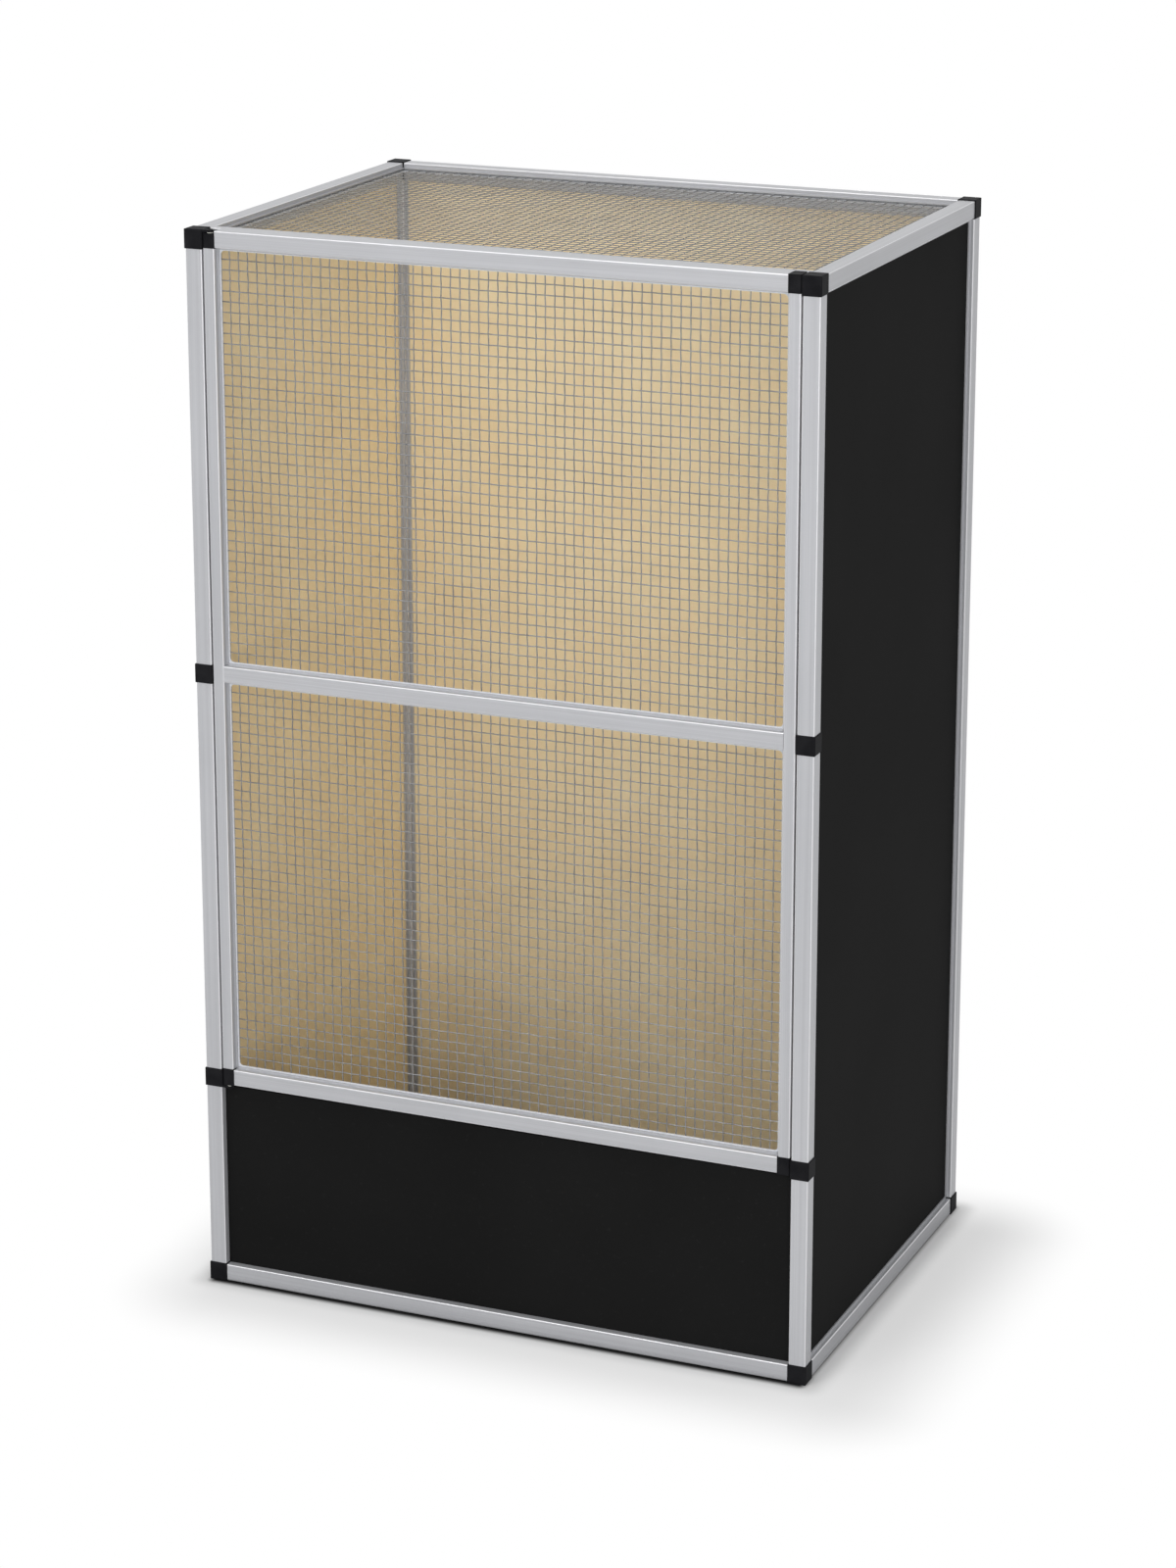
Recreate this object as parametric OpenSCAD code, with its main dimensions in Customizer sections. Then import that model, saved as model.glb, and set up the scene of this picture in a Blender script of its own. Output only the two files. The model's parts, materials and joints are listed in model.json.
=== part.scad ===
// Mesh pet cage: square tube frame on tap-in corner connectors, sheet walls held in the
// tubes' own channels, a mesh top and a framed mesh door that turns on two pivot pins.
// Millimetres. Origin at the middle of the footprint, front at -Y, +Z up.

/* [Cage] */
// Width over the corner connectors
cage_w = 600; // [420:1:900]
// Depth over the corner connectors
cage_d = 435; // [300:1:700]
// Height over the corner connectors
cage_h = 1006; // [760:1:1400]
// Height of the middle of the sill couplers
sill_coupler_z = 205; // [120:1:300]
// Height of the middle of the mid couplers
mid_coupler_z = 597; // [430:1:660]

/* [Frame tube] */
// Side of the square frame tube
tube_side = 16; // [14:0.5:20]
// Wall of the frame tubes, the header and the sill
tube_wall = 1.4; // [1:0.1:1.8]
// Radius on the long edges of every tube
tube_edge = 1.2; // [0.3:0.1:1.5]
// Depth of the header tube behind the door
header_depth = 10; // [8:0.5:16]
// Depth of the sill tube under the door
sill_depth = 16; // [12:0.5:20]
// Height of the sill tube
sill_height = 14; // [10:0.5:18]

/* [Connectors] */
// How far a connector stands proud of the tubes that it joins
connector_proud = 1; // [0.6:0.1:1.6]
// Radius on the edges of the connectors
connector_edge = 1.2; // [0.5:0.1:1.8]
// Length of a tenon inside a frame tube
tenon_length = 25; // [18:1:40]
// Clearance round a tenon, plug or tongue in its seat
tenon_fit = 0.1; // [0.05:0.05:0.2]
// Thickness of the locking tongues on the plugs
tongue_thickness = 2.4; // [1.6:0.2:2.8]
// Height of the locking tongues
tongue_height = 8; // [5:0.5:9]
// How far a tongue reaches past the tube wall
tongue_reach = 4; // [2:0.5:5]
// Length of a plug inside its tube
plug_length = 20; // [12:1:30]
// Thickness of the collar between the sill and a post
plug_collar = 3; // [2:0.5:6]

/* [Sheets] */
// Thickness of the black outer sheets
panel_thickness = 3; // [2:0.5:4]
// Thickness of the cream liners
liner_thickness = 1.5; // [1:0.5:2.5]
// Thickness of the floor sheet
floor_thickness = 4; // [3:0.5:5]
// Distance from the top of the bottom rails down to the floor sheet
floor_drop = 2; // [1.6:0.1:3]
// Distance from the front of the posts back to the lower front sheet
front_recess = 7.5; // [4:0.5:8]
// Wall of the channel fins on the tubes
fin_wall = 1.2; // [0.8:0.1:1.4]
// Distance from the outer face of a tube to its wall channel
fin_inset = 4.2; // [1:0.1:5]
// Width of sheet edge that lies inside a channel
panel_bite = 1.2; // [1.2:0.1:4]
// Clearance from a sheet edge to the connectors
edge_clearance = 0.3; // [0.2:0.1:1]
// Slack of a sheet in its channel or slot
groove_slack = 0.3; // [0.1:0.1:0.6]
// Clearance between fins that meet in a corner, and at butted ends
cope_clearance = 0.3; // [0.1:0.1:0.6]

/* [Mesh] */
// Width of a mesh bar
mesh_bar = 1.6; // [1:0.1:2.5]
// Thickness of a mesh sheet
mesh_thickness = 1.6; // [1:0.1:2]
// Nearest spacing of the mesh bars
mesh_pitch = 46; // [40:1:80]
// Distance from the top of the frame tubes down to the top mesh channel
top_mesh_drop = 5.5; // [5:0.5:10]
// Thickness of the spline that wedges a mesh in its channel
spline_thickness = 1.4; // [1:0.1:2]
// Width of the spline, which shows as a bead beside a door channel
spline_width = 2; // [1.6:0.1:3]
// Radius at the inner corners of the spline
spline_corner = 4; // [2:0.5:8]

/* [Door] */
// Gap between the door and the connectors beside it
door_gap = 0.5; // [0.4:0.1:2]
// Width of a door stile
stile_width = 11; // [10:0.5:16]
// Depth of the door frame
door_depth = 16; // [16:0.5:18]
// Height of a door rail
door_rail_height = 15.3; // [12:0.1:16]
// Wall of the door tubes
door_wall = 1.2; // [0.8:0.1:1.6]
// Distance from the front of the door back to its mesh channel
door_mesh_setback = 7; // [6:0.5:11]
// Width of mesh edge that lies inside a door channel
door_mesh_bite = 1; // [1:0.1:3]
// Clearance from a door mesh to the door corners
door_mesh_clearance = 0.3; // [0.2:0.1:1]
// Height of a door corner
door_corner_height = 16.4; // [16.2:0.1:20]
// How far a door corner stands inward past its stile
door_corner_proud = 0.6; // [0.4:0.1:2]
// How far a door corner stands forward of the door rails
door_corner_forward = 0.5; // [0.2:0.1:0.8]
// Radius on the outer edges of a door corner
door_corner_edge = 2; // [1.6:0.1:3]
// Length of a door corner's tenons
door_tenon_length = 20; // [12:1:30]
// Gap from the back of the door to its stops
stop_gap = 1.2; // [0.9:0.1:2]
// Gap from the door down to the sill
sill_gap = 1.2; // [0.8:0.1:3]

/* [Hinge] */
// Diameter of the hinge pins
pin_diameter = 3; // [2:0.1:3.4]
// Radial running clearance of a pin in the door
pin_clearance = 0.05; // [0.02:0.01:0.1]
// Distance from the door's edge to the pin axis
pin_edge = 6; // [5:0.1:7]
// Distance from the front of the door rails to the pin axis
pin_front = 3; // [2.6:0.1:3.4]
// How far a pin reaches into the door
pin_depth = 8; // [5:0.5:12]
// Distance from a pin's end to the bottom of its bore, and from its head to the tab's face
pin_end_gap = 0.4; // [0.2:0.1:1]
// Thickness of a hinge tab
tab_thickness = 2.2; // [1.6:0.1:3]
// Width of a hinge tab
tab_width = 6; // [5:0.1:6.4]
// Gap between the door and a hinge tab
hinge_gap = 0.8; // [0.6:0.1:1.5]
// Thickness of the washers in that gap
washer_thickness = 0.6; // [0.3:0.1:0.6]
// Outer diameter of the washers
washer_diameter = 5.8; // [5:0.1:6]

/* [Catch] */
// Diameter of a catch magnet
magnet_diameter = 8; // [5:0.5:9]
// Thickness of a catch magnet
magnet_thickness = 2.5; // [2.2:0.1:4]
// Thickness of a strike plate
strike_thickness = 1; // [0.6:0.1:2]
// Gap between magnet and strike plate, and round them in the pocket
catch_gap = 0.3; // [0.2:0.1:0.6]

/* [Hidden] */

// Sides of the cage, and its front and back ends
left = -1;
right = 1;
front = -1;
back = 1;
// Directions of the tenons, as seen on the right of the cage
inward = [-1, 0, 0];
forward = [0, -1, 0];
rearward = [0, 1, 0];
up = [0, 0, 1];
down = [0, 0, -1];
// Facets on round faces
round_fn = 48;
// Overlap that joins the pieces of one solid
root = 0.5;
aluminium = [0.75, 0.76, 0.79];
black_plastic = [0.12, 0.12, 0.13];
black_sheet = [0.11, 0.11, 0.11];
cream_sheet = [0.86, 0.79, 0.66];
galvanised = [0.62, 0.63, 0.62];
vinyl = [0.8, 0.82, 0.86];
steel = [0.7, 0.7, 0.72];
nylon = [0.9, 0.9, 0.87];

// Frame planes: outer and inner faces of the tubes
half_w = cage_w / 2;
half_d = cage_d / 2;
connector_side = tube_side + 2 * connector_proud;
x_out = half_w - connector_proud;
x_in = x_out - tube_side;
y_front_out = connector_proud - half_d;
y_front_in = y_front_out + tube_side;
y_back_out = half_d - connector_proud;
y_back_in = y_back_out - tube_side;
z_low_in = connector_proud + tube_side;
z_high_out = cage_h - connector_proud;
z_high_in = z_high_out - tube_side;
// Middle lines of the posts and rails
post_x = half_w - connector_side / 2;
post_y = half_d - connector_side / 2;
rail_low_z = connector_side / 2;
rail_high_z = cage_h - connector_side / 2;
// Ends of the rails at the connectors
rail_end_x = half_w - connector_side;
rail_end_y = half_d - connector_side;
// Spans of the front post's three lengths
post_lower = [connector_side, sill_coupler_z - connector_side / 2];
post_middle = [sill_coupler_z + connector_side / 2, mid_coupler_z - connector_side / 2];
post_upper = [mid_coupler_z + connector_side / 2, cage_h - connector_side];
post_whole = [connector_side, cage_h - connector_side];
tenon_side = tube_side - 2 * tube_wall - 2 * tenon_fit;

// Channels for sheets
edge_gap = connector_proud + edge_clearance;
fin_height = edge_gap + panel_bite;
half_slack = groove_slack / 2;
cope = fin_height + cope_clearance;
wall_thickness = panel_thickness + liner_thickness;
panel_x = x_out - fin_inset - fin_wall - half_slack;
panel_y = y_back_out - fin_inset - fin_wall - half_slack;
front_panel_y = y_front_out + front_recess;
floor_z = z_low_in - floor_drop;
side_fins = channel_fins(panel_x, -1, wall_thickness);
back_fins = channel_fins(panel_y, -1, wall_thickness);
front_slot = [front_panel_y - half_slack, front_panel_y + panel_thickness + half_slack];
slot_bite = tube_wall - half_slack;
floor_fins = channel_fins(floor_z, -1, floor_thickness);
top_mesh_z = z_high_out - top_mesh_drop;
mesh_pack = mesh_thickness + spline_thickness;
top_mesh_fins = channel_fins(top_mesh_z, -1, mesh_pack);

// Door planes
door_x = half_w - connector_side - door_gap;
door_front = y_front_out;
door_back = door_front + door_depth;
door_mid_y = (door_front + door_back) / 2;
door_top = cage_h;
door_bottom = sill_coupler_z - connector_side / 2 + tab_thickness + hinge_gap;
stile_in = door_x - stile_width;
stile_mid_x = door_x - stile_width / 2;
door_corner_width = stile_width + door_corner_proud;
door_corner_x = door_x - door_corner_width;
stile_span = [door_bottom + door_corner_height, door_top - door_corner_height];
rail_top_z = door_top - door_corner_height / 2;
rail_bottom_z = door_bottom + door_corner_height / 2;
rail_mid_z = mid_coupler_z + connector_side / 2 - door_rail_height / 2;
half_rail = door_rail_height / 2;
door_edge_gap = max(door_corner_proud, (door_corner_height - door_rail_height) / 2)
    + door_mesh_clearance;
door_fin_height = door_edge_gap + door_mesh_bite;
door_channel_y = door_front + door_mesh_setback;
door_fins = channel_fins(door_channel_y, 1, mesh_pack);
door_cope_x = stile_in - door_fin_height - cope_clearance;
door_mesh_x = stile_in - door_edge_gap;
upper_mesh_span = [rail_mid_z + half_rail + door_edge_gap, rail_top_z - half_rail - door_edge_gap];
lower_mesh_span = [rail_bottom_z + half_rail + door_edge_gap, rail_mid_z - half_rail - door_edge_gap];

// Stops behind and under the door
stop_y = door_back + stop_gap;
header_mid_y = stop_y + header_depth / 2;
header_back = stop_y + header_depth;
sill_front = front_slot[1];
sill_mid_y = sill_front + sill_depth / 2;
sill_top = door_bottom - sill_gap;
sill_mid_z = sill_top - sill_height / 2;
sill_bottom = sill_top - sill_height;
sill_end_x = x_in - plug_collar;
sill_tongue_y = max(sill_front + tongue_thickness / 2, (sill_front + y_front_in - tube_wall) / 2);
top_mesh_front = header_back + edge_gap;
top_mesh_back = y_back_in - edge_gap;
top_mesh_x = x_in - edge_gap;

// Hinge and catch
hinge_x = pin_edge - door_x;
hinge_y = door_front + pin_front;
top_tab_z = cage_h - tab_thickness;
bottom_tab_z = sill_coupler_z - connector_side / 2;
bore_diameter = pin_diameter + 2 * pin_clearance;
bore_depth = pin_depth + pin_end_gap;
catch_x = door_x - door_corner_width / 2;
catch_top_z = rail_top_z;
catch_bottom_z = rail_bottom_z;
stop_height = catch_bottom_z + magnet_diameter / 2 + catch_gap - sill_top;
pocket_depth = magnet_thickness - stop_gap + catch_gap + strike_thickness;
pocket_diameter = magnet_diameter + 4 * catch_gap;
strike_diameter = magnet_diameter + 2 * catch_gap;

// Two fins that hold a sheet whose near face is at start, with dir pointing through the sheet
function channel_fins(start, dir, thickness) = [
    [start - dir * (half_slack + fin_wall), start - dir * half_slack],
    [start + dir * (thickness + half_slack), start + dir * (thickness + half_slack + fin_wall)]
];

// A box between two corners given in any order
module block(a, b) {
    low = [for (i = [0:2]) min(a[i], b[i])];
    high = [for (i = [0:2]) max(a[i], b[i])];
    translate(low) cube(high - low);
}

// What is drawn on the right of the cage, or its mirror image on the left
module on_side(side) {
    if (side == right) children();
    else mirror([1, 0, 0]) children();
}

module round_rectangle(w, h, r) {
    square([w - 2 * r, h], center = true);
    square([w, h - 2 * r], center = true);
    for (x = [-1, 1], y = [-1, 1])
        translate([x * (w / 2 - r), y * (h / 2 - r)]) circle(r, $fn = round_fn);
}

module tube_section(w, h, wall) {
    difference() {
        round_rectangle(w, h, tube_edge);
        square([w - 2 * wall, h - 2 * wall], center = true);
    }
}

// Tubes along each axis, between two places on their middle line
module tube_x(y, z, span, depth, height, wall) {
    translate([span[0], y, z]) rotate([90, 0, 90])
        linear_extrude(span[1] - span[0]) tube_section(depth, height, wall);
}

module tube_y(x, z, span, width, height, wall) {
    translate([x, span[0], z]) rotate([-90, 0, 0])
        linear_extrude(span[1] - span[0]) tube_section(width, height, wall);
}

module tube_z(x, y, span, width, depth, wall) {
    translate([x, y, span[0]])
        linear_extrude(span[1] - span[0]) tube_section(width, depth, wall);
}

// A cube about the origin with every edge rounded
module soft_cube(side, r) {
    intersection() {
        translate([0, 0, -side / 2]) linear_extrude(side) round_rectangle(side, side, r);
        rotate([90, 0, 0]) translate([0, 0, -side / 2]) linear_extrude(side) round_rectangle(side, side, r);
        rotate([0, 90, 0]) translate([0, 0, -side / 2]) linear_extrude(side) round_rectangle(side, side, r);
    }
}

// A connector with one tenon in each direction
module connector(middle, directions) {
    reach = connector_side / 2 + tenon_length;
    translate(middle) {
        soft_cube(connector_side, connector_edge);
        for (way = directions)
            block([for (d = way) d == 0 ? -tenon_side / 2 : 0],
                [for (d = way) d == 0 ? tenon_side / 2 : d * reach]);
    }
}

// Flat ear that carries a hinge pin, on a connector at the left of the door
module hinge_tab(z) {
    translate([0, 0, z]) {
        translate([hinge_x, hinge_y]) cylinder(tab_thickness, d = tab_width, $fn = round_fn);
        block([-rail_end_x - connector_edge - root, hinge_y - tab_width / 2, 0],
            [hinge_x, hinge_y + tab_width / 2, tab_thickness]);
    }
}

module hinge_bore(z, depth) {
    translate([hinge_x, hinge_y, z]) cylinder(depth, d = bore_diameter, $fn = round_fn);
}

// Space for the tongue that locks the header to a side rail and its corner, seen on the right
module header_tongue(fit) {
    block([x_in - root, header_mid_y - tongue_thickness / 2 - fit, rail_high_z - tongue_height / 2 - fit],
        [x_in + tube_wall + tongue_reach + fit, header_mid_y + tongue_thickness / 2 + fit,
            rail_high_z + tongue_height / 2 + fit]);
}

// Space round a top front corner, which wider tubes push into the end of the header, seen on the right
module corner_space() {
    block([rail_end_x - tenon_fit, -half_d, cage_h - connector_side - tenon_fit],
        [half_w, tenon_fit - rail_end_y, cage_h]);
}

// Space for the tongue that locks the sill to a lower post and its coupler, seen on the right
module sill_tongue(fit) {
    block([x_in - root, sill_tongue_y - tongue_thickness / 2 - fit, sill_mid_z - tongue_height / 2 - fit],
        [x_in + tube_wall + tongue_reach + fit, sill_tongue_y + tongue_thickness / 2 + fit,
            sill_mid_z + tongue_height / 2 + fit]);
}

// Space for the tongue that locks the door's middle rail to a stile, seen on the right
module door_tongue(fit) {
    block([stile_in - root, door_mid_y - tongue_thickness / 2 - fit, rail_mid_z - tongue_height / 2 - fit],
        [stile_in + door_wall + tongue_reach + fit, door_mid_y + tongue_thickness / 2 + fit,
            rail_mid_z + tongue_height / 2 + fit]);
}

// Front post length with the channel of the side wall on its back
module front_post_length(span) {
    tube_z(post_x, -post_y, span, tube_side, tube_side, tube_wall);
    for (fin = side_fins)
        block([fin[0], y_front_in - root, span[0]], [fin[1], y_front_in + fin_height, span[1]]);
}

module post_front(side, span) {
    color(aluminium) on_side(side) front_post_length(span);
}

// Lowest front post length, with a slot in its wall for the lower front sheet
module post_front_lower(side) {
    color(aluminium) on_side(side) difference() {
        front_post_length(post_lower);
        block([x_in - root, front_slot[0], post_lower[0] - root],
            [x_in + tube_wall + root, front_slot[1], post_lower[1] + root]);
        sill_tongue(tenon_fit);
    }
}

module post_back(side) {
    color(aluminium) on_side(side) {
        tube_z(post_x, post_y, post_whole, tube_side, tube_side, tube_wall);
        for (fin = side_fins)
            block([fin[0], y_back_in + root, post_whole[0]],
                [fin[1], y_back_in - fin_height, post_whole[1]]);
        for (fin = back_fins)
            block([x_in + root, fin[0], post_whole[0]], [x_in - fin_height, fin[1], post_whole[1]]);
    }
}

module rail_bottom_front() {
    color(aluminium) {
        difference() {
            tube_x(-post_y, rail_low_z, [-rail_end_x, rail_end_x], tube_side, tube_side, tube_wall);
            block([-rail_end_x - root, front_slot[0], z_low_in - tube_wall - root],
                [rail_end_x + root, front_slot[1], z_low_in + root]);
        }
        for (fin = floor_fins)
            block([cope - x_in, y_front_in - root, fin[0]], [x_in - cope, y_front_in + fin_height, fin[1]]);
    }
}

module rail_bottom_back() {
    color(aluminium) {
        tube_x(post_y, rail_low_z, [-rail_end_x, rail_end_x], tube_side, tube_side, tube_wall);
        for (fin = back_fins)
            block([cope - x_in, fin[0], z_low_in - root], [x_in - cope, fin[1], z_low_in + fin_height]);
        for (fin = floor_fins)
            block([cope - x_in, y_back_in + root, fin[0]], [x_in - cope, y_back_in - fin_height, fin[1]]);
    }
}

module rail_bottom_side(side) {
    color(aluminium) on_side(side) {
        tube_y(post_x, rail_low_z, [-rail_end_y, rail_end_y], tube_side, tube_side, tube_wall);
        for (fin = side_fins)
            block([fin[0], y_front_in + cope, z_low_in - root],
                [fin[1], y_back_in - cope, z_low_in + fin_height]);
        for (fin = floor_fins)
            block([x_in + root, y_front_in + cope, fin[0]], [x_in - fin_height, y_back_in - cope, fin[1]]);
    }
}

module rail_top_back() {
    color(aluminium) {
        tube_x(post_y, rail_high_z, [-rail_end_x, rail_end_x], tube_side, tube_side, tube_wall);
        for (fin = back_fins)
            block([cope - x_in, fin[0], z_high_in + root], [x_in - cope, fin[1], z_high_in - fin_height]);
        for (fin = top_mesh_fins)
            block([cope - x_in, y_back_in + root, fin[0]], [x_in - cope, y_back_in - fin_height, fin[1]]);
    }
}

module rail_top_side(side) {
    color(aluminium) on_side(side) difference() {
        union() {
            tube_y(post_x, rail_high_z, [-rail_end_y, rail_end_y], tube_side, tube_side, tube_wall);
            for (fin = side_fins)
                block([fin[0], y_front_in + cope, z_high_in + root],
                    [fin[1], y_back_in - cope, z_high_in - fin_height]);
            for (fin = top_mesh_fins)
                block([x_in + root, header_back + cope, fin[0]],
                    [x_in - fin_height, y_back_in - cope, fin[1]]);
        }
        header_tongue(tenon_fit);
    }
}

module header_rail() {
    color(aluminium) difference() {
        union() {
            tube_x(header_mid_y, rail_high_z, [-x_in, x_in], header_depth, tube_side, tube_wall);
            for (fin = top_mesh_fins)
                block([-x_in, header_back - root, fin[0]], [x_in, header_back + fin_height, fin[1]]);
        }
        for (side = [left, right]) on_side(side) corner_space();
    }
}

module header_plugs() {
    plug_depth = header_depth - 2 * tube_wall - 2 * tenon_fit;
    color(black_plastic) for (side = [left, right]) on_side(side) {
        difference() {
            block([x_in - plug_length, header_mid_y - plug_depth / 2, rail_high_z - tenon_side / 2],
                [x_in, header_mid_y + plug_depth / 2, rail_high_z + tenon_side / 2]);
            corner_space();
        }
        header_tongue(0);
    }
}

module sill_rail() {
    color(aluminium) {
        tube_x(sill_mid_y, sill_mid_z, [-sill_end_x, sill_end_x], sill_depth, sill_height, tube_wall);
        block([-sill_end_x, stop_y, sill_top - root],
            [sill_end_x, stop_y + fin_wall, sill_top + stop_height]);
    }
}

module sill_plugs() {
    inset = tube_wall + tenon_fit;
    color(black_plastic) for (side = [left, right]) on_side(side) {
        block([sill_end_x - plug_length, sill_front + inset, sill_bottom + inset],
            [sill_end_x, sill_front + sill_depth - inset, sill_top - inset]);
        difference() {
            block([sill_end_x, sill_front, sill_bottom], [x_in, sill_front + sill_depth, sill_top]);
            // Step that clears the coupler above the lower post
            block([rail_end_x - cope_clearance, sill_front - root, bottom_tab_z - cope_clearance],
                [x_in + root, sill_front + sill_depth + root, sill_top + root]);
        }
        sill_tongue(0);
    }
}

module corner_bottom(side, end) {
    color(black_plastic) on_side(side)
        connector([post_x, end * post_y, rail_low_z], [inward, -end * rearward, up]);
}

module corner_top_back(side) {
    color(black_plastic) on_side(side)
        connector([post_x, post_y, rail_high_z], [inward, forward, down]);
}

module corner_top_front(side) {
    color(black_plastic) difference() {
        union() {
            on_side(side) connector([post_x, -post_y, rail_high_z], [rearward, down]);
            if (side == left) hinge_tab(top_tab_z);
        }
        on_side(side) header_tongue(tenon_fit);
        if (side == left) hinge_bore(top_tab_z - root, tab_thickness + 2 * root);
    }
}

module coupler_mid(side) {
    color(black_plastic) on_side(side) connector([post_x, -post_y, mid_coupler_z], [up, down]);
}

module coupler_sill(side) {
    color(black_plastic) difference() {
        union() {
            on_side(side) connector([post_x, -post_y, sill_coupler_z], [up, down]);
            if (side == left) hinge_tab(bottom_tab_z);
        }
        on_side(side) sill_tongue(tenon_fit);
        if (side == left) hinge_bore(bottom_tab_z - root, tab_thickness + 2 * root);
    }
}

// Side wall sheet of a given thickness whose outer face is at x
module side_sheet(side, x, thickness) {
    on_side(side)
        block([x - thickness, y_front_in + edge_gap, z_low_in + edge_gap],
            [x, y_back_in - edge_gap, z_high_in - edge_gap]);
}

module back_sheet(y, thickness) {
    block([edge_gap - x_in, y - thickness, z_low_in + edge_gap],
        [x_in - edge_gap, y, z_high_in - edge_gap]);
}

module panel_side(side) {
    color(black_sheet) side_sheet(side, panel_x, panel_thickness);
}

module liner_side(side) {
    color(cream_sheet) side_sheet(side, panel_x - panel_thickness, liner_thickness);
}

module panel_back() {
    color(black_sheet) back_sheet(panel_y, panel_thickness);
}

module liner_back() {
    color(cream_sheet) back_sheet(panel_y - panel_thickness, liner_thickness);
}

module panel_front_lower() {
    panel_back_y = front_panel_y + panel_thickness;
    color(black_sheet) difference() {
        block([-x_in - slot_bite, front_panel_y, z_low_in - slot_bite],
            [x_in + slot_bite, panel_back_y, bottom_tab_z - edge_clearance]);
        // Notches that clear the bottom corner connectors
        for (side = [left, right]) on_side(side)
            block([rail_end_x - edge_clearance, front_panel_y - root, z_low_in - slot_bite - root],
                [x_in + slot_bite + root, panel_back_y + root, connector_side + edge_clearance]);
    }
}

module panel_floor() {
    color(black_sheet)
        block([edge_gap - x_in, y_front_in + edge_gap, floor_z - floor_thickness],
            [x_in - edge_gap, y_back_in - edge_gap, floor_z]);
}

// Flat square-mesh sheet about the origin, with as many gaps as come nearest to the pitch
module mesh_sheet(w, h) {
    columns = round((w - mesh_bar) / mesh_pitch);
    rows = round((h - mesh_bar) / mesh_pitch);
    step = [(w - mesh_bar) / columns, (h - mesh_bar) / rows];
    linear_extrude(mesh_thickness) difference() {
        square([w, h], center = true);
        for (i = [0:columns - 1], j = [0:rows - 1])
            translate([mesh_bar + i * step[0] - w / 2, mesh_bar + j * step[1] - h / 2])
                square([step[0] - mesh_bar, step[1] - mesh_bar]);
    }
}

// Rectangular ring of spline about the origin, along the edges of a mesh sheet
module spline_ring(w, h) {
    linear_extrude(spline_thickness) difference() {
        square([w, h], center = true);
        round_rectangle(w - 2 * spline_width, h - 2 * spline_width, spline_corner);
    }
}

// Turns a flat sheet about the origin into the top opening, with its upper face at z
module in_top(z) {
    translate([0, (top_mesh_front + top_mesh_back) / 2, z]) mirror([0, 0, 1]) children();
}

module top_mesh() {
    color(galvanised) in_top(top_mesh_z)
        mesh_sheet(2 * top_mesh_x, top_mesh_back - top_mesh_front);
}

module top_mesh_spline() {
    color(vinyl) in_top(top_mesh_z - mesh_thickness)
        spline_ring(2 * top_mesh_x, top_mesh_back - top_mesh_front);
}

// Turns a flat sheet about the origin into a door opening, with its front face at y
module in_door(y, span) {
    translate([0, y, (span[0] + span[1]) / 2]) rotate([90, 0, 0]) mirror([0, 0, 1]) children();
}

module door_mesh(span) {
    color(galvanised) in_door(door_channel_y + spline_thickness, span)
        mesh_sheet(2 * door_mesh_x, span[1] - span[0]);
}

module door_spline(span) {
    color(vinyl) in_door(door_channel_y, span)
        spline_ring(2 * door_mesh_x, span[1] - span[0]);
}

module door_stile(side) {
    fin_spans = [
        [stile_span[0], rail_mid_z - half_rail - cope_clearance],
        [rail_mid_z + half_rail + cope_clearance, stile_span[1]]
    ];
    color(aluminium) on_side(side) difference() {
        union() {
            tube_z(stile_mid_x, door_mid_y, stile_span, stile_width, door_depth, door_wall);
            for (fin = door_fins, span = fin_spans)
                block([stile_in + root, fin[0], span[0]], [stile_in - door_fin_height, fin[1], span[1]]);
        }
        door_tongue(tenon_fit);
    }
}

// Door rail with a mesh channel on its upper side, its lower side or both
module door_rail(z, end_x, channel_sides) {
    color(aluminium) {
        tube_x(door_mid_y, z, [-end_x, end_x], door_depth, door_rail_height, door_wall);
        for (fin = door_fins, way = channel_sides)
            block([-door_cope_x, fin[0], z + way * (half_rail - root)],
                [door_cope_x, fin[1], z + way * (half_rail + door_fin_height)]);
    }
}

module door_rail_plugs() {
    inset = door_wall + tenon_fit;
    color(black_plastic) for (side = [left, right]) on_side(side) {
        block([stile_in - plug_length, door_front + inset, rail_mid_z - half_rail + inset],
            [stile_in, door_back - inset, rail_mid_z + half_rail - inset]);
        door_tongue(0);
    }
}

// Door corner seen on the right, with its tenons; way is 1 where the stile is above it
module door_corner_body(z, way) {
    inset = door_wall + tenon_fit;
    corner_depth = door_depth + door_corner_forward;
    translate([0, 0, z - door_corner_height / 2]) linear_extrude(door_corner_height) {
        translate([door_x - door_corner_width / 2, door_back - corner_depth / 2])
            round_rectangle(door_corner_width, corner_depth, door_corner_edge);
        translate([door_corner_x, door_back - corner_depth])
            square([door_corner_width - door_corner_edge, corner_depth]);
    }
    block([stile_in + inset, door_front + inset, z],
        [door_x - inset, door_back - inset, z + way * (door_corner_height / 2 + door_tenon_length)]);
    block([door_corner_x + root, door_front + inset, z - half_rail + inset],
        [door_corner_x - door_tenon_length, door_back - inset, z + half_rail - inset]);
}

module strike_pocket(z) {
    translate([catch_x, door_back + root, z]) rotate([90, 0, 0])
        cylinder(pocket_depth + root, d = pocket_diameter, $fn = round_fn);
}

module door_corner_right(z, way) {
    color(black_plastic) difference() {
        door_corner_body(z, way);
        strike_pocket(z);
    }
}

module door_corner_top_left() {
    notch_z = top_tab_z - hinge_gap;
    color(black_plastic) difference() {
        on_side(left) door_corner_body(rail_top_z, -1);
        block([-door_x - root, door_front - door_corner_forward - root, notch_z],
            [root - door_corner_x, door_back + root, door_top + root]);
        hinge_bore(notch_z - bore_depth, bore_depth + root);
    }
}

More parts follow.
